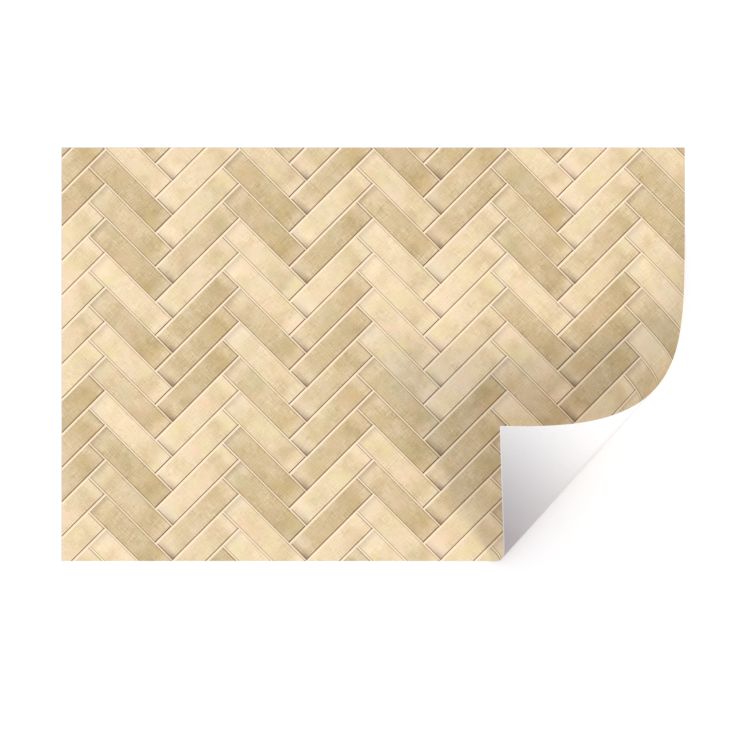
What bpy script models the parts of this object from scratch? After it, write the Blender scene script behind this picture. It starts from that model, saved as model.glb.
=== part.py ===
"""Peel and stick backsplash sheet lying face up with its lower right corner peeled over."""
from math import atan2, cos, hypot, radians, sin, sqrt

import bmesh
import bpy
from mathutils import Matrix, Vector

# Sheet
SHEET_WIDTH = 0.600
SHEET_HEIGHT = 0.398
SHEET_THICKNESS = 0.0005

# Where the bend begins, on the two edges that meet at the peeled corner
BEND_ON_RIGHT_EDGE = 0.926 * SHEET_HEIGHT
BEND_ON_BOTTOM_EDGE = 0.321 * SHEET_WIDTH

# The straight lines of the curl fan out from one point, this far below the sheet
FAN_POINT_BELOW = 0.0365

# How far the corner turns over, and the shares of the fan by which the bend is
# at its tightest, begins to ease and would be straight again
CURL_TURN_ANGLE = radians(163.0)
FULL_BEND_SHARE = 0.05
EASING_SHARE = 0.20
STRAIGHT_SHARE = 1.07

# A corner that is pulled over gives across the fan's lines, fully by a share of
# the way round, and draws in along them towards the corner
STRETCH_RATIO = 0.124
STRETCHED_SHARE = 0.3
DRAW_IN_RATIO = 0.065

# Lines in the fan; more make a smoother curl
CURL_STEPS = 96


def blend(share, start, end):
    """Smooth step from 0 at start to 1 at end."""
    x = min(max((share - start) / (end - start), 0.0), 1.0)
    return x * x * (3.0 - 2.0 * x)


def bend_shape(share):
    """Relative curve of the sheet at a share of the way round the fan."""
    easing = blend(share, EASING_SHARE, STRAIGHT_SHARE)
    return blend(share, 0.0, FULL_BEND_SHARE) * (1.0 - easing)


class Curl:
    """Cone shaped curl: the fan's lines stay straight while they swing up and over."""

    def __init__(self):
        corner = Vector((SHEET_WIDTH / 2, -SHEET_HEIGHT / 2, 0.0))
        low = corner - Vector((BEND_ON_BOTTOM_EDGE, 0.0, 0.0))
        high = corner + Vector((0.0, BEND_ON_RIGHT_EDGE, 0.0))
        along = (high - low).normalized()
        self.point = low - along * (FAN_POINT_BELOW / along.y)
        self.first = atan2(along.y, along.x)
        self.fan = self.first - self.angle_of(corner)
        self.lines = self.swing(along)

    def angle_of(self, flat):
        """Angle of a place on the flat sheet, seen from the fan's point."""
        return atan2(flat.y - self.point.y, flat.x - self.point.x)

    def swing(self, along):
        """Direction of every line of the fan once the sheet is curled."""
        shares = [(step + 0.5) / CURL_STEPS for step in range(CURL_STEPS)]
        widths = [
            self.fan / CURL_STEPS * (1.0 + STRETCH_RATIO * blend(share, 0.0, STRETCHED_SHARE))
            for share in shares
        ]
        total = sum(bend_shape(share) * width for share, width in zip(shares, widths))
        up = Vector((0.0, 0.0, 1.0))
        lines = [along]
        for share, width in zip(shares, widths):
            bend = CURL_TURN_ANGLE / total * bend_shape(share)
            axis = -(up + along * bend)
            turn = Matrix.Rotation(width * sqrt(1.0 + bend * bend), 3, axis)
            along = turn @ along
            up = turn @ up
            lines.append(along)
        return lines

    def place(self, flat):
        """Where a point of the flat sheet ends up; before the fan it stays put."""
        share = (self.first - self.angle_of(flat)) / self.fan
        line = max(round(share * CURL_STEPS), 0)
        if line == 0:
            return flat.copy()
        reach = hypot(flat.x - self.point.x, flat.y - self.point.y)
        reach *= 1.0 - DRAW_IN_RATIO * blend(share, 0.0, 1.0)
        return self.point + self.lines[line] * reach


def clear_scene():
    """Take out everything that Blender starts with."""
    for thing in list(bpy.data.objects):
        bpy.data.objects.remove(thing, do_unlink=True)


def make_material(name, colour, roughness):
    """Plain Principled BSDF material."""
    material = bpy.data.materials.new(name)
    material.use_nodes = True
    shader = material.node_tree.nodes["Principled BSDF"]
    shader.inputs["Base Color"].default_value = colour
    shader.inputs["Roughness"].default_value = roughness
    shader.inputs["Metallic"].default_value = 0.0
    return material


def flat_sheet(mesh, curl):
    """Cut a flat rectangle along every line of the fan."""
    size = Matrix.Diagonal((SHEET_WIDTH / 2, SHEET_HEIGHT / 2, 1.0, 1.0))
    bmesh.ops.create_grid(mesh, x_segments=1, y_segments=1, size=1.0, matrix=size)
    for step in range(CURL_STEPS):
        angle = curl.first - curl.fan * step / CURL_STEPS
        bmesh.ops.bisect_plane(
            mesh,
            geom=mesh.verts[:] + mesh.edges[:] + mesh.faces[:],
            dist=1e-6,
            plane_co=curl.point,
            plane_no=(sin(angle), -cos(angle), 0.0),
        )


def make_sheet(collection):
    """One sheet: flat, cut along the fan, curled, then given its thickness."""
    curl = Curl()
    mesh = bmesh.new()
    flat_sheet(mesh, curl)
    for vert in mesh.verts:
        vert.co = curl.place(vert.co)
        vert.co.z += SHEET_THICKNESS
    for edge in mesh.edges:
        edge.smooth = not edge.is_boundary
    for face in mesh.faces:
        face.smooth = True
    data = bpy.data.meshes.new("backsplash_sheet")
    mesh.to_mesh(data)
    mesh.free()
    sheet = bpy.data.objects.new("backsplash_sheet", data)
    collection.objects.link(sheet)
    data.materials.append(make_material("printed_sheet", (0.72, 0.58, 0.38, 1.0), 0.45))
    solid = sheet.modifiers.new("thickness", "SOLIDIFY")
    solid.thickness = SHEET_THICKNESS
    solid.offset = -1.0
    solid.use_even_offset = True
    return sheet


def build():
    """Build the peeled sheet in its own collection."""
    clear_scene()
    collection = bpy.data.collections.new("peel_and_stick_backsplash")
    bpy.context.scene.collection.children.link(collection)
    make_sheet(collection)


build()
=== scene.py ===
"""Looks of a peel and stick backsplash sheet.

The sheet lies face up on a pale floor with its lower right corner peeled over, so that its
white back shows.  The printed film and its release paper are two pieces that follow the
curl of the solid they stand for.  Sizes are in metres.
"""

import logging
import math
from dataclasses import dataclass, field
from enum import Enum

import bmesh
import bpy
from mathutils import Matrix, Vector


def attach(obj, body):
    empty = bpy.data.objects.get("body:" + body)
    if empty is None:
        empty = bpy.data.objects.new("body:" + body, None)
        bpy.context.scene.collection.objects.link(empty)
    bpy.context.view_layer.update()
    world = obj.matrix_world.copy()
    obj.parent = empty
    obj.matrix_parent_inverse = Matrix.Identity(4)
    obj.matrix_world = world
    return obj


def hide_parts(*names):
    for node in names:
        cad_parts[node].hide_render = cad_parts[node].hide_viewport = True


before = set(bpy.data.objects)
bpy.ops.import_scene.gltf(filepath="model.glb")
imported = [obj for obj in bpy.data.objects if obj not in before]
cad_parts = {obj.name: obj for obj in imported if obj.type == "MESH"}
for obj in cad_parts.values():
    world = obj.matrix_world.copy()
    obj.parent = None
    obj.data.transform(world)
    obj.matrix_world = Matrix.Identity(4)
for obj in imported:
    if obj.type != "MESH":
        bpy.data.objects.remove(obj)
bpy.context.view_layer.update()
LOG = logging.getLogger("backsplash")

Colour = tuple[float, float, float, float]


def colour(red: int, green: int, blue: int) -> Colour:
    """Turn a screen colour into the linear one that a shader takes.

    Args:
        red: Red from 0 to 255.
        green: Green from 0 to 255.
        blue: Blue from 0 to 255.

    Returns:
        Linear red, green, blue and an alpha of 1.
    """
    def linear(level: int) -> float:
        """Undo the screen curve of one channel."""
        share = level / 255
        return share / 12.92 if share <= 0.04045 else ((share + 0.055) / 1.055) ** 2.4

    return linear(red), linear(green), linear(blue), 1.0


def blend(share: float, start: float, end: float) -> float:
    """Step smoothly from 0 at start to 1 at end.

    Args:
        share: Where to read the step.
        start: Where it leaves 0.
        end: Where it reaches 1.

    Returns:
        A number from 0 to 1.
    """
    x = min(max((share - start) / (end - start), 0.0), 1.0)
    return x * x * (3.0 - 2.0 * x)


class Signal:
    """A number that varies over a surface: one output socket of a material's nodes."""

    def __init__(self, bench: "MaterialBench", socket: bpy.types.NodeSocket) -> None:
        """Wrap a socket.

        Args:
            bench: The material that the socket is in.
            socket: The output that gives the number.
        """
        self.bench = bench
        self.socket = socket

    def _math(self, operation: str, *terms: "Signal | float") -> "Signal":
        """Add a Math node.

        Args:
            operation: The node's operation.
            *terms: Its inputs in order.

        Returns:
            The node's result.
        """
        node = self.bench.node(
            "ShaderNodeMath", {"operation": operation}, dict(enumerate(terms))
        )
        return Signal(self.bench, node.outputs[0])

    def __add__(self, other: "Signal | float") -> "Signal":
        """Sum of two signals."""
        return self._math("ADD", self, other)

    def __radd__(self, other: float) -> "Signal":
        """Sum with a number on the left."""
        return self._math("ADD", other, self)

    def __sub__(self, other: "Signal | float") -> "Signal":
        """Difference of two signals."""
        return self._math("SUBTRACT", self, other)

    def __rsub__(self, other: float) -> "Signal":
        """Difference with a number on the left."""
        return self._math("SUBTRACT", other, self)

    def __mul__(self, other: "Signal | float") -> "Signal":
        """Product of two signals."""
        return self._math("MULTIPLY", self, other)

    def __rmul__(self, other: float) -> "Signal":
        """Product with a number on the left."""
        return self._math("MULTIPLY", other, self)

    def __truediv__(self, other: "Signal | float") -> "Signal":
        """Quotient of two signals."""
        return self._math("DIVIDE", self, other)

    def __abs__(self) -> "Signal":
        """Size without its sign."""
        return self._math("ABSOLUTE", self)

    def whole(self) -> "Signal":
        """Round down to a whole number."""
        return self._math("FLOOR", self)

    def cycle(self, length: float) -> "Signal":
        """Count round from 0 up to length."""
        return self._math("FLOORED_MODULO", self, length)

    def sine(self) -> "Signal":
        """Sine of an angle in radians."""
        return self._math("SINE", self)

    def above(self, edge: float) -> "Signal":
        """1 where the signal is over edge, else 0."""
        return self._math("GREATER_THAN", self, edge)

    def larger(self, other: "Signal | float") -> "Signal":
        """Larger of two signals."""
        return self._math("MAXIMUM", self, other)

    def smaller(self, other: "Signal | float") -> "Signal":
        """Smaller of two signals."""
        return self._math("MINIMUM", self, other)

    def step(self, start: float, end: float) -> "Signal":
        """Step smoothly from 0 at start to 1 at end, either way round.

        Args:
            start: Where the step leaves 0.
            end: Where it reaches 1.

        Returns:
            A signal from 0 to 1.
        """
        low, high = min(start, end), max(start, end)
        node = self.bench.node(
            "ShaderNodeMapRange",
            {"interpolation_type": "SMOOTHSTEP"},
            {"Value": self, "From Min": low, "From Max": high},
        )
        rise = Signal(self.bench, node.outputs["Result"])
        return rise if start < end else 1.0 - rise

    def band(self, centre: float, reach: float, soft: float) -> "Signal":
        """1 near a value and 0 away from it, as a drawn line is.

        Args:
            centre: The value at the line's middle.
            reach: Half of the line's width.
            soft: How far each side of the line fades.

        Returns:
            A signal from 0 to 1.
        """
        return abs(self - centre).step(reach + soft, reach - soft)

    def pick(self, off: "Signal | float", on: "Signal | float") -> "Signal":
        """Go from off where this signal is 0 to on where it is 1."""
        return off + self * (on - off)


class MaterialBench:
    """Nodes of one material, with one method that adds any of them."""

    def __init__(self, name: str) -> None:
        """Start a material with its Principled shader.

        Args:
            name: The material's name.
        """
        self.material = bpy.data.materials.new(name)
        self.material.use_nodes = True
        self.tree = self.material.node_tree
        self.shader = self.tree.nodes["Principled BSDF"]

    def node(
        self, kind: str, settings: dict[str, object], inputs: dict[str | int, object]
    ) -> bpy.types.Node:
        """Add a node.

        Args:
            kind: The node's type.
            settings: Its own properties, which are set first.
            inputs: A value, socket or signal for each of its sockets.

        Returns:
            The new node.
        """
        node = self.tree.nodes.new(kind)
        for name, value in settings.items():
            if name == "stops":
                self.set_stops(node.color_ramp, value)
            else:
                setattr(node, name, value)
        for name, value in inputs.items():
            self.feed(node.inputs[name], value)
        return node

    def set_stops(
        self, band: bpy.types.ColorRamp, stops: tuple[tuple[float, float], ...]
    ) -> None:
        """Give a ramp its stops.

        Args:
            band: The ramp.
            stops: Places along it and the grey of each.
        """
        band.interpolation = "EASE"
        for i, (place, grey) in enumerate(stops):
            stop = band.elements[i] if i < 2 else band.elements.new(place)
            stop.position = place
            stop.color = (grey, grey, grey, 1.0)

    def ramp(self, place: Signal, stops: tuple[tuple[float, float], ...]) -> Signal:
        """Read a number off a ramp.

        Args:
            place: Where to read it, from 0 to 1.
            stops: Places along the ramp and the number at each.

        Returns:
            The number.
        """
        node = self.node("ShaderNodeValToRGB", {"stops": stops}, {0: place})
        return Signal(self, node.outputs[0])

    def feed(self, socket: bpy.types.NodeSocket, value: object) -> None:
        """Give an input its value or its link.

        Args:
            socket: The input.
            value: A number, colour, socket or signal.
        """
        if isinstance(value, Signal):
            value = value.socket
        if isinstance(value, bpy.types.NodeSocket):
            self.tree.links.new(value, socket)
        else:
            socket.default_value = value

    def finish(self, sockets: dict[str, object]) -> bpy.types.Material:
        """Feed the shader's sockets.

        Args:
            sockets: What each named socket takes.

        Returns:
            The finished material.
        """
        for name, value in sockets.items():
            self.feed(self.shader.inputs[name], value)
        return self.material

    def places(self, layer: str) -> tuple[Signal, Signal]:
        """Read a map of places on the surface.

        Args:
            layer: The map's name.

        Returns:
            Its two coordinates.
        """
        read = self.node("ShaderNodeUVMap", {"uv_map": layer}, {})
        parts = self.node("ShaderNodeSeparateXYZ", {}, {0: read.outputs[0]})
        return Signal(self, parts.outputs[0]), Signal(self, parts.outputs[1])

    def cloud(
        self,
        x: Signal | float,
        y: Signal | float,
        z: Signal | float,
        detail: float,
        roughness: float,
    ) -> Signal:
        """Soft noise about one unit across, from about 0 to 1.

        Args:
            x: First place, in units of the noise.
            y: Second place.
            z: Third place.
            detail: Number of finer layers.
            roughness: How strong the finer layers are.

        Returns:
            The noise.
        """
        place = self.node("ShaderNodeCombineXYZ", {}, {0: x, 1: y, 2: z})
        noise = self.node(
            "ShaderNodeTexNoise",
            {"noise_dimensions": "3D"},
            {"Vector": place.outputs[0], "Scale": 1.0, "Detail": detail, "Roughness": roughness},
        )
        return Signal(self, noise.outputs[0])

    def mix(self, first: object, second: object, share: Signal | float) -> bpy.types.NodeSocket:
        """Mix two colours.

        Args:
            first: The colour at share 0.
            second: The colour at share 1.
            share: How much of the second.

        Returns:
            The mixed colour.
        """
        node = self.node("ShaderNodeMix", {"data_type": "RGBA"}, {0: share, 6: first, 7: second})
        return node.outputs[2]

    def bump(self, height: Signal, distance: float, strength: float) -> bpy.types.NodeSocket:
        """Turn a height into a normal.

        Args:
            height: The relief, from 0 to 1.
            distance: How deep a relief of 1 is.
            strength: How much of it shows.

        Returns:
            The normal.
        """
        node = self.node(
            "ShaderNodeBump", {}, {"Strength": strength, "Distance": distance, "Height": height}
        )
        return node.outputs[0]


@dataclass(frozen=True)
class Fade:
    """Smooth change with a signal: nothing at one value, its full strength at another."""

    start: float
    full: float
    strength: float = 1.0

    def draw(self, signal: Signal) -> Signal:
        """Read the change off a signal."""
        return signal.step(self.start, self.full) * self.strength


@dataclass(frozen=True)
class Mottle:
    """Soft noise over a surface, with its units to the metre each way."""

    along: float
    across: float
    start: float = 0.0
    detail: float = 2.0
    roughness: float = 0.5

    def draw(
        self, bench: MaterialBench, along: Signal, across: Signal, own: Signal | float = 0.0
    ) -> Signal:
        """Draw the noise.

        Args:
            bench: The material that it is for.
            along: First place, in metres.
            across: Second place, in metres.
            own: Number that sets one printed piece apart from the others.

        Returns:
            The noise, from about 0 to 1.
        """
        return bench.cloud(
            along * self.along, across * self.across, own + self.start, self.detail, self.roughness
        )


@dataclass(frozen=True)
class PiecePlace:
    """Where a point is on its own printed piece of the herringbone."""

    rising: Signal
    along: Signal
    across: Signal
    from_lower_left: Signal
    from_upper_right: Signal
    from_lower_right: Signal
    from_upper_left: Signal
    from_left_end: Signal
    left_share: Signal
    across_share: Signal
    column: Signal
    row: Signal
    own: Signal


@dataclass(frozen=True)
class HerringboneLayout:
    """Herringbone of long pieces at 45 degrees, counted from one corner of a rising piece."""

    length: float = 0.09128
    width: float = 0.02350
    start_x: float = -0.02276
    start_y: float = 0.29891
    column_number: float = 7.31
    row_number: float = 3.17
    rising_number: float = 11.7

    def locate(self, x: Signal, y: Signal) -> PiecePlace:
        """Find the piece at a place on the flat sheet.

        Args:
            x: Distance from the sheet's left edge.
            y: Distance from its bottom edge.

        Returns:
            The place on that piece.
        """
        length, width = self.length, self.width
        right, up = x - self.start_x, y - self.start_y
        rise = (right + up) * math.sqrt(0.5)
        fall = (up - right) * math.sqrt(0.5)
        side = rise - fall

        column_r = ((side + width) / (2 * length)).whole()
        fall_r = fall + column_r * length
        row_r = (fall_r / width).whole()
        across_r = fall_r - row_r * width
        along_r = rise - column_r * length - row_r * width
        rising = along_r.above(0.0) - along_r.above(length)

        column_f = ((side - (length - width)) / (2 * length)).whole()
        rise_f = rise - column_f * length - length
        row_f = (rise_f / width).whole()
        across_f = rise_f - row_f * width
        along_f = fall + column_f * length - row_f * width + (length - width)

        along = rising.pick(along_f, along_r)
        across = rising.pick(across_f, across_r)
        from_left_end = rising.pick(length - along, along)
        column = rising.pick(column_f, column_r)
        row = rising.pick(row_f, row_r)
        number = column * self.column_number + row * self.row_number
        return PiecePlace(
            rising=rising,
            along=along,
            across=across,
            from_lower_left=rising.pick(across, along),
            from_upper_right=rising.pick(width - across, length - along),
            from_lower_right=rising.pick(along, across),
            from_upper_left=rising.pick(length - along, width - across),
            from_left_end=from_left_end,
            left_share=from_left_end / length,
            across_share=across / width,
            column=column,
            row=row,
            own=number + rising * self.rising_number,
        )


@dataclass(frozen=True)
class ToneSeed:
    """Numbers that scatter light and dark pieces over the herringbone's repeat."""

    column: float
    row: float
    start: float

    def angle(self, column: Signal, row: Signal) -> Signal:
        """Angle whose sine gives a piece its tone."""
        return column * self.column + row * self.row + self.start


@dataclass(frozen=True)
class PieceTones:
    """Tone of each printed piece, in a repeat of 3 columns by 8 rows."""

    columns: int = 3
    rows: int = 8
    rising_seed: ToneSeed = ToneSeed(7.5, 55.3, 18.9)
    falling_seed: ToneSeed = ToneSeed(47.5, 3.5, 29.2)
    scatter: float = 43.7
    dark_share: float = 0.46
    dark_range: float = 1.02
    light_start: float = 0.426
    light_range: float = 0.574

    def draw(self, place: PiecePlace) -> Signal:
        """Give each piece its own tone.

        Args:
            place: Where the point is on its piece.

        Returns:
            0 for a dark piece up to 1 for a light one.
        """
        column = place.column.cycle(self.columns)
        row = place.row.cycle(self.rows)
        angle = place.rising.pick(
            self.falling_seed.angle(column, row), self.rising_seed.angle(column, row)
        )
        chance = (angle.sine() * self.scatter).cycle(1.0)
        light = chance.above(self.dark_share)
        return light.pick(chance * self.dark_range, chance * self.light_range + self.light_start)


@dataclass(frozen=True)
class DrawnLine:
    """Line drawn along one side of a printed piece."""

    rising_centre: float
    falling_centre: float
    reach: float
    soft: float
    rising_strength: float
    falling_strength: float

    def draw(self, distance: Signal, rising: Signal) -> Signal:
        """Draw the line at its strength for the piece's lean.

        Args:
            distance: Distance from the side.
            rising: 1 on a rising piece, 0 on a falling one.

        Returns:
            How much of the line shows.
        """
        strength = rising.pick(self.falling_strength, self.rising_strength)
        off = distance - rising.pick(self.falling_centre, self.rising_centre)
        return off.band(0.0, self.reach, self.soft) * strength


@dataclass(frozen=True)
class EndShade:
    """Soft shade at one end of each printed piece, deepest by its lower side."""

    rising_end: Fade = Fade(0.0095, 0.0012)
    falling_end: Fade = Fade(0.0080, 0.0014, 1.9)
    least: float = 0.35
    slow_rise: Fade = Fade(0.0235, 0.001, 0.75)
    quick_rise: Fade = Fade(0.010, 0.002, 0.50)
    on_dark: float = 0.36
    on_light: float = 0.25

    def draw(self, place: PiecePlace, light: Signal) -> Signal:
        """Draw the shade.

        Args:
            place: Where the point is on its piece.
            light: 0 on a dark piece up to 1 on a light one.

        Returns:
            How much of it shows.
        """
        side = place.from_lower_right
        deep = self.least + self.slow_rise.draw(side) + self.quick_rise.draw(side)
        end = place.rising.pick(
            self.falling_end.draw(place.from_upper_left), self.rising_end.draw(place.from_left_end)
        )
        return end * deep * light.pick(self.on_dark, self.on_light)


@dataclass(frozen=True)
class LinenGrain:
    """Fine woven grain, stronger in some patches than in others."""

    warp: Mottle = Mottle(110, 1000, 0.0, 1.0)
    weft: Mottle = Mottle(1000, 110, 9.0, 1.0)
    patches: Mottle = Mottle(60, 60, 4.0)
    patch: Fade = Fade(0.38, 0.62, 0.65)
    least: float = 0.35

    def draw(self, bench: MaterialBench, place: PiecePlace, x: Signal, y: Signal) -> Signal:
        """Draw the grain.

        Args:
            bench: The material that it is for.
            place: Where the point is on its piece.
            x: Distance from the sheet's left edge.
            y: Distance from its bottom edge.

        Returns:
            The grain, above and below 0.
        """
        warp = self.warp.draw(bench, place.along, place.across, place.own)
        weft = self.weft.draw(bench, place.along, place.across, place.own)
        patch = self.patch.draw(self.patches.draw(bench, x, y))
        return (warp + weft - 1.0) * (self.least + patch)


@dataclass(frozen=True)
class StoneHues:
    """Colours of the printed stone, from its deepest tone to its brightest."""

    deep_tone: Colour = colour(182, 158, 111)
    gleam_tone: Colour = colour(250, 227, 191)
    dark_rosy: Colour = colour(215, 184, 147)
    light_rosy: Colour = colour(243, 212, 179)
    dark_olive: Colour = colour(196, 183, 139)
    light_olive: Colour = colour(229, 217, 178)
    ochre: Colour = colour(215, 184, 125)
    pale: Colour = colour(235, 219, 194)
    blush: Colour = colour(250, 217, 186)
    straw: Colour = colour(235, 218, 164)
    lowest_tone: float = -0.43
    tone_range: float = 1.8
    hues: Mottle = Mottle(42, 50, 20.0)
    to_olive: Fade = Fade(0.52, 0.80, 0.72)
    to_rosy: Fade = Fade(0.48, 0.22, 0.70)
    warmth: Mottle = Mottle(44, 60, 33.0, 1.0)
    warmth_strength: float = 1.7
    warmth_stops: tuple[tuple[float, float], ...] = (
        (0.00, 0.05), (0.25, 0.66), (0.42, 0.40), (0.88, 0.74), (1.00, 0.20),
    )
    to_ochre: Fade = Fade(0.5, 1.3, 0.4)
    to_pale: Fade = Fade(0.5, -0.3)
    pale_on_dark: float = 0.35
    pale_on_light: float = 0.55
    tints: Mottle = Mottle(42, 42, 12.0)
    to_blush: Fade = Fade(0.50, 0.28, 0.42)
    to_straw: Fade = Fade(0.50, 0.72, 0.50)

    def draw(
        self,
        bench: MaterialBench,
        place: PiecePlace,
        tone: Signal,
        light: Signal,
        tint: Signal,
    ) -> bpy.types.NodeSocket:
        """Colour the stone.

        Args:
            bench: The material that it is for.
            place: Where the point is on its piece.
            tone: How bright the point is.
            light: 0 on a dark part up to 1 on a light one.
            tint: Slow noise over the whole sheet.

        Returns:
            The stone's colour.
        """
        face = bench.mix(
            self.deep_tone, self.gleam_tone, (tone - self.lowest_tone) / self.tone_range
        )
        olive = bench.mix(self.dark_olive, self.light_olive, light)
        rosy = bench.mix(self.dark_rosy, self.light_rosy, light)
        hue = self.hues.draw(bench, place.along, place.across, place.own)
        face = bench.mix(face, olive, self.to_olive.draw(hue))
        face = bench.mix(face, rosy, self.to_rosy.draw(hue))
        warm = self.warmth.draw(bench, place.along, place.across, place.own)
        slow = bench.ramp(place.left_share, self.warmth_stops)
        warm = slow + (warm - 0.5) * self.warmth_strength
        face = bench.mix(face, self.ochre, self.to_ochre.draw(warm))
        paleness = light.pick(self.pale_on_dark, self.pale_on_light)
        face = bench.mix(face, self.pale, self.to_pale.draw(warm) * paleness)
        face = bench.mix(face, self.blush, self.to_blush.draw(tint) * light)
        return bench.mix(face, self.straw, self.to_straw.draw(tint) * light)


@dataclass(frozen=True)
class PrintedVinyl:
    """Satin vinyl printed with cream and sand herringbone."""

    layout: HerringboneLayout = HerringboneLayout()
    tones: PieceTones = PieceTones()
    hues: StoneHues = StoneHues()
    linen: LinenGrain = LinenGrain()
    end_shade: EndShade = EndShade()
    wash: Mottle = Mottle(40, 52)
    wash_strength: float = 0.68
    wash_stops: tuple[tuple[float, float], ...] = (
        (0.00, 0.52), (0.12, 0.74), (0.25, 0.50), (0.40, 0.56), (0.60, 0.50), (0.83, 0.21),
        (0.935, 0.60), (1.00, 0.48),
    )
    stops_strength: float = 1.05
    blots: Mottle = Mottle(130, 130, 50.0)
    blot_strength: float = 0.42
    upper_side_lift: float = 0.12
    light_part: Fade = Fade(0.25, 0.90)
    linen_strength: float = 1.35
    specks: Mottle = Mottle(950, 950, 1.0)
    speck_strength: float = 1.5
    brown_line: Colour = colour(92, 46, 12)
    low_line: DrawnLine = DrawnLine(0.00110, 0.00130, 0.00042, 0.00020, 0.87, 1.0)
    left_line: DrawnLine = DrawnLine(0.00178, 0.00137, 0.00034, 0.00024, 0.89, 0.52)
    right_line: DrawnLine = DrawnLine(0.00102, 0.00080, 0.00034, 0.00024, 0.70, 0.40)
    cream_line: Colour = colour(253, 233, 204)
    upper_left_rim: Fade = Fade(0.0018, 0.0012)
    lower_left_rim: Fade = Fade(0.00096, 0.00058)
    upper_right_rim: Fade = Fade(0.0003, 0.0001, 0.1)
    lower_right_rim: Fade = Fade(0.00055, 0.00025, 0.58)
    rim_share: float = 0.90
    rim_loss_in_shade: float = 0.2
    gloss: float = 0.3
    roughness: float = 0.52
    speck_roughness: float = 0.12
    linen_roughness: float = 0.1
    line_roughness: float = 0.08
    relief_level: float = 0.6
    linen_relief: float = 0.3
    speck_relief: float = 0.12
    low_relief: float = 0.5
    side_relief: float = 0.3
    rim_relief: float = 0.1
    relief_depth: float = 0.00006
    relief_strength: float = 0.6

    def make(self) -> bpy.types.Material:
        """Build the printed finish.

        Returns:
            The material.
        """
        bench = MaterialBench("printed_vinyl")
        x, y = bench.places("flat")
        place = self.layout.locate(x, y)

        wash = self.wash.draw(bench, place.along, place.across, place.own)
        blot = self.blots.draw(bench, place.along, place.across, place.own)
        slow = bench.ramp(place.left_share, self.wash_stops)
        tone = self.tones.draw(place) + (slow - 0.5) * self.stops_strength
        tone = tone + (wash - 0.5) * self.wash_strength + (blot - 0.5) * self.blot_strength
        tone = tone + (place.across_share - 0.5) * self.upper_side_lift
        light = self.light_part.draw(tone)
        linen = self.linen.draw(bench, place, x, y)
        speck = self.specks.draw(bench, x, y)
        tone = tone + linen * self.linen_strength + (speck - 0.5) * self.speck_strength
        tint = self.hues.tints.draw(bench, x, y)
        face = self.hues.draw(bench, place, tone, light, tint)

        shade = self.end_shade.draw(place, light)
        low = self.low_line.draw(place.from_lower_right, place.rising)
        left = self.left_line.draw(place.from_lower_left, place.rising)
        right = self.right_line.draw(place.from_upper_right, place.rising)
        dark = shade.larger(low).larger(left).larger(right)
        lined = bench.mix(face, self.brown_line, dark)

        bright = self.upper_left_rim.draw(place.from_upper_left)
        thin = self.lower_left_rim.draw(place.from_lower_left)
        thin = thin.larger(self.upper_right_rim.draw(place.from_upper_right))
        thin = thin.larger(self.lower_right_rim.draw(place.from_lower_right))
        rim_share = self.rim_share - shade * self.rim_loss_in_shade
        lined = bench.mix(lined, self.cream_line, bright.larger(thin) * rim_share)

        roughness = self.roughness + (speck - 0.5) * self.speck_roughness
        roughness = roughness + linen * self.linen_roughness + dark * self.line_roughness
        relief = self.relief_level + linen * self.linen_relief + speck * self.speck_relief
        relief = relief - low * self.low_relief - left * self.side_relief
        relief = relief - right * self.side_relief + bright * self.rim_relief
        return bench.finish(
            {
                "Base Color": lined,
                "Roughness": roughness,
                "Specular IOR Level": self.gloss,
                "Normal": bench.bump(relief, self.relief_depth, self.relief_strength),
            }
        )


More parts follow.
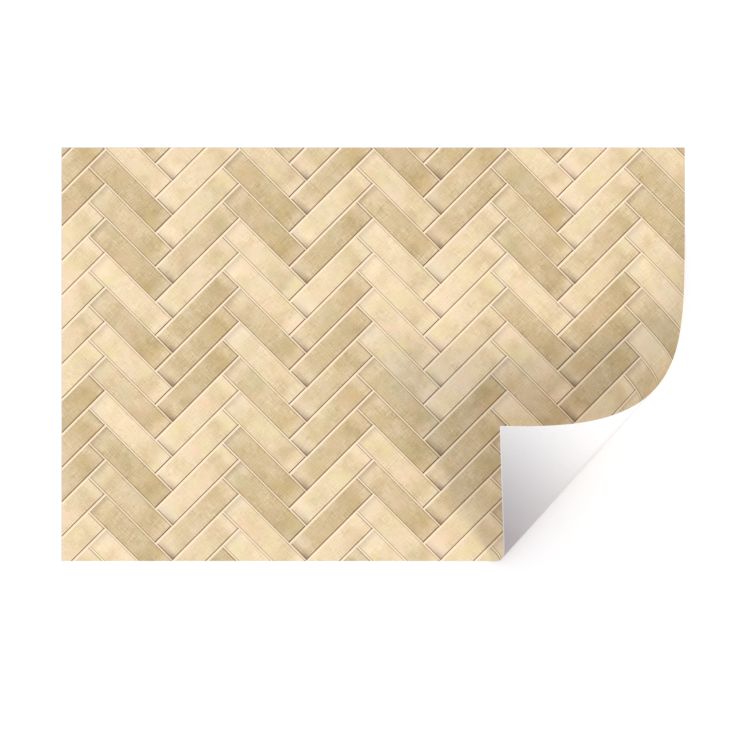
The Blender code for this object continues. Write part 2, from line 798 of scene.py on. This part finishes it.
@dataclass(frozen=True)
class ReleasePaper:
    """Smooth white release paper with a pale margin, greyed with painted shade by the tight end of
    the bend and along the line where the curl stands upright.
    """

    paper: Colour = (0.886, 0.871, 0.876, 1.0)
    fibre: Colour = (0.833, 0.819, 0.824, 1.0)
    # The next two colours are painted shade: the grey for the tight end of the bend and the
    # upright line of the curl, the darker one for the tip.
    grey: Colour = (0.366, 0.337, 0.352, 1.0)
    painted_tip_shade: Colour = (0.335, 0.297, 0.323, 1.0)
    bare: Colour = (0.857, 0.843, 0.819, 1.0)
    fibres: Mottle = Mottle(420, 160, 2.0, 3.0, 0.6)
    fibre_share: Fade = Fade(0.35, 0.75, 0.6)
    clouds: Mottle = Mottle(24, 24, 6.0)
    cloud_share: float = 0.25
    # Painted shade: where the paper greys towards the tight end of the bend, deepest at its tip.
    painted_shade_way: tuple[float, float] = (0.7261, 0.6876)
    painted_shade_start: float = 0.3242
    painted_shade_length: float = 0.1827
    painted_shade_near: Fade = Fade(-0.6, -0.05)
    painted_shade_share: Fade = Fade(1.0, 0.0)
    painted_tip_share: Fade = Fade(0.18, 0.0)
    # Painted shade: a soft grey band along the fan line where the curl stands upright.
    fold_shade_place: float = 0.415
    fold_shade_reach: float = 0.006
    fold_shade_soft: float = 0.010
    fold_shade_share: Fade = Fade(0.2, 0.9, 0.30)
    margin: Fade = Fade(0.0013, 0.0003, 0.35)
    gloss: float = 0.4
    roughness: float = 0.5
    fibre_roughness: float = 0.16
    cloud_relief: float = 0.5
    relief_depth: float = 0.00004
    relief_strength: float = 0.5

    def make(self, shape: "PeeledShape") -> bpy.types.Material:
        """Build the white finish.

        Args:
            shape: Shape of the sheet, for its size and the line of its bend.

        Returns:
            The material.
        """
        bench = MaterialBench("release_paper")
        width, height = shape.width, shape.height
        x, y = bench.places("flat")
        fibres = self.fibres.draw(bench, x, y)
        clouds = self.clouds.draw(bench, x, y)
        fibre = self.fibre_share.draw(fibres) + clouds * self.cloud_share
        white = bench.mix(self.paper, self.fibre, fibre)

        # Painted shade: grey over the paper towards the tight end of the bend, darker still at the
        # tip.
        away = (x * self.painted_shade_way[0] + y * self.painted_shade_way[1] - self.painted_shade_start) / self.painted_shade_length
        near = self.painted_shade_near.draw(away)
        white = bench.mix(white, self.grey, self.painted_shade_share.draw(away) * near)
        white = bench.mix(white, self.painted_tip_shade, self.painted_tip_share.draw(away) * near)

        # Painted shade: a soft grey band along the fan line where the curl stands upright, growing
        # away from the tight end of the bend.
        angle = shape.first - shape.fan * self.fold_shade_place
        from_x = x - (shape.point.x + width / 2)
        from_y = y - (shape.point.y + height / 2)
        off = from_x * math.sin(angle) - from_y * math.cos(angle)
        fold_shade = off.band(0.0, self.fold_shade_reach, self.fold_shade_soft)
        white = bench.mix(white, self.grey, fold_shade * self.fold_shade_share.draw(away))

        edge = x.smaller(width - x).smaller(y).smaller(height - y)
        relief = fibres + clouds * self.cloud_relief
        return bench.finish(
            {
                "Base Color": bench.mix(white, self.bare, self.margin.draw(edge)),
                "Roughness": self.roughness + (fibres - 0.5) * self.fibre_roughness,
                "Specular IOR Level": self.gloss,
                "Normal": bench.bump(relief, self.relief_depth, self.relief_strength),
            }
        )


@dataclass(frozen=True)
class PaleFloor:
    """Plain pale studio floor with a faint powdery grain."""

    tint: Colour = (0.985, 0.975, 0.970, 1.0)
    shade: Colour = (0.965, 0.958, 0.953, 1.0)
    grain: Mottle = Mottle(40, 40, 0.0, 3.0)
    gloss: float = 0.1
    roughness: float = 0.85
    grain_roughness: float = 0.1

    def make(self) -> bpy.types.Material:
        """Build the floor's finish.

        Returns:
            The material.
        """
        bench = MaterialBench("pale_floor")
        spot = bench.node("ShaderNodeNewGeometry", {}, {})
        parts = bench.node("ShaderNodeSeparateXYZ", {}, {0: spot.outputs["Position"]})
        x, y = (Signal(bench, parts.outputs[i]) for i in (0, 1))
        grain = self.grain.draw(bench, x, y)
        return bench.finish(
            {
                "Base Color": bench.mix(self.tint, self.shade, grain),
                "Roughness": self.roughness + (grain - 0.5) * self.grain_roughness,
                "Specular IOR Level": self.gloss,
            }
        )


@dataclass
class PeeledShape:
    """Shape of the peeled sheet: a flat part, and a fan of straight lines that curls over."""

    width: float = 0.600
    height: float = 0.398
    thickness: float = 0.0005
    bend_on_right_edge: float = 0.926 * 0.398
    bend_on_bottom_edge: float = 0.321 * 0.600
    fan_point_below: float = 0.0365
    turn: float = math.radians(163.0)
    full_bend_share: float = 0.05
    easing_share: float = 0.20
    straight_share: float = 1.07
    stretch: float = 0.124
    stretched_share: float = 0.3
    draw_in: float = 0.065
    steps: int = 192
    corner: Vector = field(init=False)
    low: Vector = field(init=False)
    high: Vector = field(init=False)
    point: Vector = field(init=False)
    first: float = field(init=False)
    fan: float = field(init=False)
    lines: list[Vector] = field(init=False)
    ups: list[Vector] = field(init=False)

    def __post_init__(self) -> None:
        """Lay out the fan and swing its lines."""
        self.corner = Vector((self.width / 2, -self.height / 2, 0.0))
        self.low = self.corner - Vector((self.bend_on_bottom_edge, 0.0, 0.0))
        self.high = self.corner + Vector((0.0, self.bend_on_right_edge, 0.0))
        along = (self.high - self.low).normalized()
        self.point = self.low - along * (self.fan_point_below / along.y)
        self.first = math.atan2(along.y, along.x)
        to_corner = self.corner - self.point
        self.fan = self.first - math.atan2(to_corner.y, to_corner.x)
        self.lines, self.ups = self.swing(along)

    def bend(self, share: float) -> float:
        """Relative curve at a share of the way round the fan.

        Args:
            share: From 0 at the fan's first line to 1 at the corner.

        Returns:
            0 where the sheet is straight, 1 where it is bent most.
        """
        easing = blend(share, self.easing_share, self.straight_share)
        return blend(share, 0.0, self.full_bend_share) * (1.0 - easing)

    def swing(self, along: Vector) -> tuple[list[Vector], list[Vector]]:
        """Follow the sheet round the fan.

        Args:
            along: Direction of the fan's first line.

        Returns:
            The direction of each line once curled, and of the printed side above it.
        """
        shares = [(step + 0.5) / self.steps for step in range(self.steps)]
        widths = [
            self.fan / self.steps * (1.0 + self.stretch * blend(s, 0.0, self.stretched_share))
            for s in shares
        ]
        total = sum(self.bend(share) * width for share, width in zip(shares, widths))
        up = Vector((0.0, 0.0, 1.0))
        lines, ups = [along], [up]
        for share, width in zip(shares, widths):
            curve = self.turn / total * self.bend(share)
            axis = -(up + along * curve)
            turn = Matrix.Rotation(width * math.sqrt(1.0 + curve * curve), 3, axis)
            along, up = turn @ along, turn @ up
            lines.append(along)
            ups.append(up)
        return lines, ups

    def line_ends(self, step: int) -> tuple[Vector, Vector]:
        """Ends of one flat line of the fan.

        Args:
            step: The line's number.

        Returns:
            Its end on the bottom edge and its end on the right edge.
        """
        if step == self.steps:
            return self.corner.copy(), self.corner.copy()
        angle = self.first - self.fan * step / self.steps
        down = (self.corner.y - self.point.y) / math.sin(angle)
        across = (self.corner.x - self.point.x) / math.cos(angle)
        ray = Vector((math.cos(angle), math.sin(angle), 0.0))
        return self.point + ray * down, self.point + ray * across

    def place(self, flat: Vector, step: int, depth: float) -> Vector:
        """Where a point of the flat sheet ends up.

        Args:
            flat: The point, on the flat sheet.
            step: The number of its fan line, or 0 before the fan.
            depth: How far it is below the printed side.

        Returns:
            The point in the frame.
        """
        lift = Vector((0.0, 0.0, self.thickness))
        if step == 0:
            return flat + lift - Vector((0.0, 0.0, depth))
        reach = (flat - self.point).length
        reach *= 1.0 - self.draw_in * blend(step / self.steps, 0.0, 1.0)
        return self.point + self.lines[step] * reach + lift - self.ups[step] * depth


@dataclass
class SheetGrid:
    """Flat grid of the sheet whose columns turn into the fan's lines."""

    shape: PeeledShape
    flat_columns: int = 44
    rows: int = 28
    rows_above: int = 3
    points: list[tuple[Vector, int]] = field(default_factory=list)
    faces: list[tuple[int, ...]] = field(default_factory=list)
    border: list[int] = field(default_factory=list)

    def __post_init__(self) -> None:
        """Lay out the points, faces and border of the grid."""
        flat = self.flat_part()
        fan = self.fan_part(flat)
        corner = self.add(self.shape.corner, self.shape.steps)
        for row in range(self.rows):
            self.faces.append((fan[-1][row], corner, fan[-1][row + 1]))
        above = self.part_above(flat)
        bottom = [column[0] for column in flat] + [column[0] for column in fan[1:]]
        right = [column[self.rows] for column in reversed(fan)]
        right += [row[-1] for row in above[1:]]
        top = list(reversed(above[-1][:-1]))
        left = [row[0] for row in reversed(above[:-1])]
        left += [flat[0][row] for row in range(self.rows - 1, 0, -1)]
        self.border = bottom + [corner] + right + top + left

    def add(self, flat: Vector, step: int) -> int:
        """Keep one point and return its number."""
        self.points.append((flat, step))
        return len(self.points) - 1

    def quads(self, first: list[int], second: list[int]) -> None:
        """Fill the space between two columns of points.

        Args:
            first: The left column, from its foot up.
            second: The right column, from its foot up.
        """
        for i in range(len(first) - 1):
            self.faces.append((first[i], second[i], second[i + 1], first[i + 1]))

    def flat_part(self) -> list[list[int]]:
        """Columns from the left edge to the fan's first line.

        Returns:
            The numbers of the points, column by column.
        """
        shape = self.shape
        foot = Vector((-shape.width / 2, -shape.height / 2, 0.0))
        head = Vector((-shape.width / 2, shape.high.y, 0.0))
        columns = []
        for i in range(self.flat_columns + 1):
            low = foot.lerp(shape.low, i / self.flat_columns)
            high = head.lerp(shape.high, i / self.flat_columns)
            columns.append(
                [self.add(low.lerp(high, row / self.rows), 0) for row in range(self.rows + 1)]
            )
        for first, second in zip(columns, columns[1:]):
            self.quads(first, second)
        return columns

    def fan_part(self, flat: list[list[int]]) -> list[list[int]]:
        """Columns along the fan's lines, up to the last one before the corner.

        Args:
            flat: The columns of the flat part.

        Returns:
            The numbers of the points, from the fan's first line on.
        """
        columns = [flat[-1]]
        for step in range(1, self.shape.steps):
            low, high = self.shape.line_ends(step)
            columns.append(
                [self.add(low.lerp(high, row / self.rows), step) for row in range(self.rows + 1)]
            )
        for first, second in zip(columns, columns[1:]):
            self.quads(first, second)
        return columns

    def part_above(self, flat: list[list[int]]) -> list[list[int]]:
        """Rows of the strip that runs along the top edge, over the bend's start.

        Args:
            flat: The columns of the flat part.

        Returns:
            The numbers of the points, row by row from the foot up.
        """
        rows = [[column[-1] for column in flat]]
        for row in range(1, self.rows_above + 1):
            share = row / self.rows_above
            level = self.shape.high.y + (self.shape.height / 2 - self.shape.high.y) * share
            new = []
            for i in rows[0]:
                below = self.points[i][0]
                new.append(self.add(Vector((below.x, level, 0.0)), 0))
            rows.append(new)
        for lower, upper in zip(rows, rows[1:]):
            for i in range(len(lower) - 1):
                self.faces.append((lower[i], lower[i + 1], upper[i + 1], upper[i]))
        return rows


class Side(Enum):
    """Side of the sheet that a layer shows."""

    PRINTED = "printed"
    BACK = "back"


@dataclass
class SheetLayer:
    """One layer of the sheet: its outer side and its cut edge, from one depth to another."""

    name: str
    slot: str
    side: Side
    top_depth: float
    bottom_depth: float
    grid: SheetGrid
    edge_band: float = 0.02
    edge_room: float = 1.5
    edge_inner: float = 0.1
    edge_outer: float = 0.9

    def build(self) -> bpy.types.Object:
        """Make the layer's mesh with its two maps.

        Returns:
            The object.
        """
        printed = self.side is Side.PRINTED
        outer = self.top_depth if printed else self.bottom_depth
        inner = self.bottom_depth if printed else self.top_depth
        shape = self.grid.shape
        mesh = bmesh.new()
        shown = [mesh.verts.new(shape.place(*point, outer)) for point in self.grid.points]
        for face in self.grid.faces:
            mesh.faces.new([shown[i] for i in (face if printed else reversed(face))])
        hidden = {
            i: mesh.verts.new(shape.place(*self.grid.points[i], inner)) for i in self.grid.border
        }
        places = [self.flat_place(point) for point, _ in self.grid.points]
        places += [places[i] for i in self.grid.border]
        mesh.verts.index_update()
        faces = list(mesh.faces)
        self.add_edge(mesh, shown, hidden, printed)
        mesh.verts.index_update()
        self.map_places(mesh, places, faces)
        for face in mesh.faces:
            face.smooth = True
        data = bpy.data.meshes.new(self.name)
        mesh.to_mesh(data)
        mesh.free()
        layer = bpy.data.objects.new(self.name, data)
        bpy.context.scene.collection.objects.link(layer)
        return layer

    def flat_place(self, point: Vector) -> tuple[float, float]:
        """Distance of a flat point from the sheet's left and bottom edges."""
        shape = self.grid.shape
        return point.x + shape.width / 2, point.y + shape.height / 2

    def add_edge(
        self,
        mesh: bmesh.types.BMesh,
        shown: list[bmesh.types.BMVert],
        hidden: dict[int, bmesh.types.BMVert],
        printed: bool,
    ) -> None:
        """Close the layer's cut edge and keep its corner crisp.

        Args:
            mesh: The layer's mesh.
            shown: Its points on the outer side.
            hidden: Its border points on the inner side.
            printed: Whether the layer is the printed one.
        """
        border = self.grid.border
        for first, second in zip(border, border[1:] + border[:1]):
            loop = [shown[first], hidden[first], hidden[second], shown[second]]
            mesh.faces.new(loop if printed else loop[::-1])
            mesh.edges.get((shown[first], shown[second])).smooth = False

    def map_places(
        self,
        mesh: bmesh.types.BMesh,
        places: list[tuple[float, float]],
        outer_faces: list[bmesh.types.BMFace],
    ) -> None:
        """Write the flat places for the finish, and a map that fills one square.

        Args:
            mesh: The layer's mesh.
            places: The flat place of each point.
            outer_faces: The faces of the outer side.
        """
        flat = mesh.loops.layers.uv.new("flat")
        square = mesh.loops.layers.uv.new("OFBake")
        shape = self.grid.shape
        room = 1.0 - self.edge_room * self.edge_band
        outer = set(outer_faces)
        strip = [face for face in mesh.faces if face not in outer]
        for face in mesh.faces:
            for loop in face.loops:
                loop[flat].uv = places[loop.vert.index]
        for face in outer_faces:
            for loop in face.loops:
                x, y = places[loop.vert.index]
                loop[square].uv = (x / shape.width, y / shape.height * room)
        first_hidden = len(self.grid.points)
        for number, face in enumerate(strip):
            start = places[self.grid.border[number]]
            for loop in face.loops:
                later = places[loop.vert.index] != start
                deep = loop.vert.index >= first_hidden
                level = self.edge_inner if deep else self.edge_outer
                u = (number + (1 if later else 0)) / len(strip)
                loop[square].uv = (u, 1.0 - self.edge_band * level)

    def dress(self, layer: bpy.types.Object, finish: bpy.types.Material) -> None:
        """Give the layer its finish and tie it to the frame.

        Args:
            layer: The layer's object.
            finish: Its material.
        """
        layer.data.materials.append(finish)
        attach(layer, "root")


@dataclass
class BacksplashSheet:
    """The whole sheet: printed film over release paper."""

    shape: PeeledShape = field(default_factory=PeeledShape)
    film_thickness: float = 0.0003

    def build(self) -> list[bpy.types.Object]:
        """Build and dress both layers.

        Returns:
            The layers' objects.
        """
        grid = SheetGrid(self.shape)
        seam = self.film_thickness
        film = SheetLayer("printed_film", "printed_face", Side.PRINTED, 0.0, seam, grid)
        paper = SheetLayer(
            "release_paper", "white_back", Side.BACK, seam, self.shape.thickness, grid
        )
        made = []
        finishes = PrintedVinyl().make(), ReleasePaper().make(self.shape)
        for layer, finish in zip((film, paper), finishes):
            piece = layer.build()
            layer.dress(piece, finish)
            made.append(piece)
        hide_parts("backsplash_sheet")
        return made


@dataclass
class Studio:
    """Pale floor, soft light and a camera that looks straight down."""

    floor_size: float = 14.0
    floor_gap: float = 0.0002
    sky: float = 0.905
    sky_tint: Colour = (0.965, 0.997, 1.055, 1.0)
    side_height: float = math.radians(37.0)
    side_way: float = math.radians(-31.0)
    side_softness: float = math.radians(14.0)
    side_power: float = 1.069
    side_tint: tuple[float, float, float] = (1.0, 0.88, 0.68)
    side_distance: float = 3.0
    camera_height: float = 4.335
    frame_width: float = 0.7226
    look_at: tuple[float, float] = (0.0016, -0.0199)
    sensor: float = 36.0
    nearest: float = 0.1
    farthest: float = 50.0

    def lay_floor(self) -> bpy.types.Object:
        """Lay the floor just under the sheet.

        Returns:
            The floor.
        """
        mesh = bmesh.new()
        bmesh.ops.create_grid(mesh, x_segments=8, y_segments=8, size=self.floor_size / 2)
        data = bpy.data.meshes.new("studio_floor")
        mesh.to_mesh(data)
        mesh.free()
        floor = bpy.data.objects.new("studio_floor", data)
        floor.location.z = -self.floor_gap
        data.materials.append(PaleFloor().make())
        bpy.context.scene.collection.objects.link(floor)
        return floor

    def light(self) -> None:
        """Set the even sky and the soft light that comes over the sheet's lower right."""
        world = bpy.data.worlds.new("studio")
        world.use_nodes = True
        background = world.node_tree.nodes["Background"]
        background.inputs["Color"].default_value = self.sky_tint
        background.inputs["Strength"].default_value = self.sky
        bpy.context.scene.world = world
        data = bpy.data.lights.new("side_light", "SUN")
        data.energy, data.angle, data.color = self.side_power, self.side_softness, self.side_tint
        lamp = bpy.data.objects.new("side_light", data)
        flat, up = math.cos(self.side_height), math.sin(self.side_height)
        place = Vector((flat * math.cos(self.side_way), flat * math.sin(self.side_way), up))
        lamp.location = place * self.side_distance
        lamp.rotation_mode = "QUATERNION"
        lamp.rotation_quaternion = (-place).to_track_quat("-Z", "Y")
        bpy.context.scene.collection.objects.link(lamp)

    def aim_camera(self) -> None:
        """Set the camera high above the sheet with a long lens."""
        data = bpy.data.cameras.new("camera")
        data.sensor_width = self.sensor
        data.lens = self.sensor * self.camera_height / self.frame_width
        data.clip_start, data.clip_end = self.nearest, self.farthest
        camera = bpy.data.objects.new("camera", data)
        camera.location = (*self.look_at, self.camera_height)
        bpy.context.scene.collection.objects.link(camera)
        bpy.context.scene.camera = camera

    def build(self) -> None:
        """Set up the whole studio."""
        bpy.context.scene.view_settings.view_transform = "Standard"
        self.lay_floor()
        self.light()
        self.aim_camera()


def main() -> None:
    """Build the studio and the sheet, and report each piece."""
    logging.basicConfig(level=logging.INFO, format="%(message)s")
    Studio().build()
    for piece in BacksplashSheet().build():
        LOG.info("%s: %d faces", piece.name, len(piece.data.polygons))


if __name__ == "__main__":
    main()
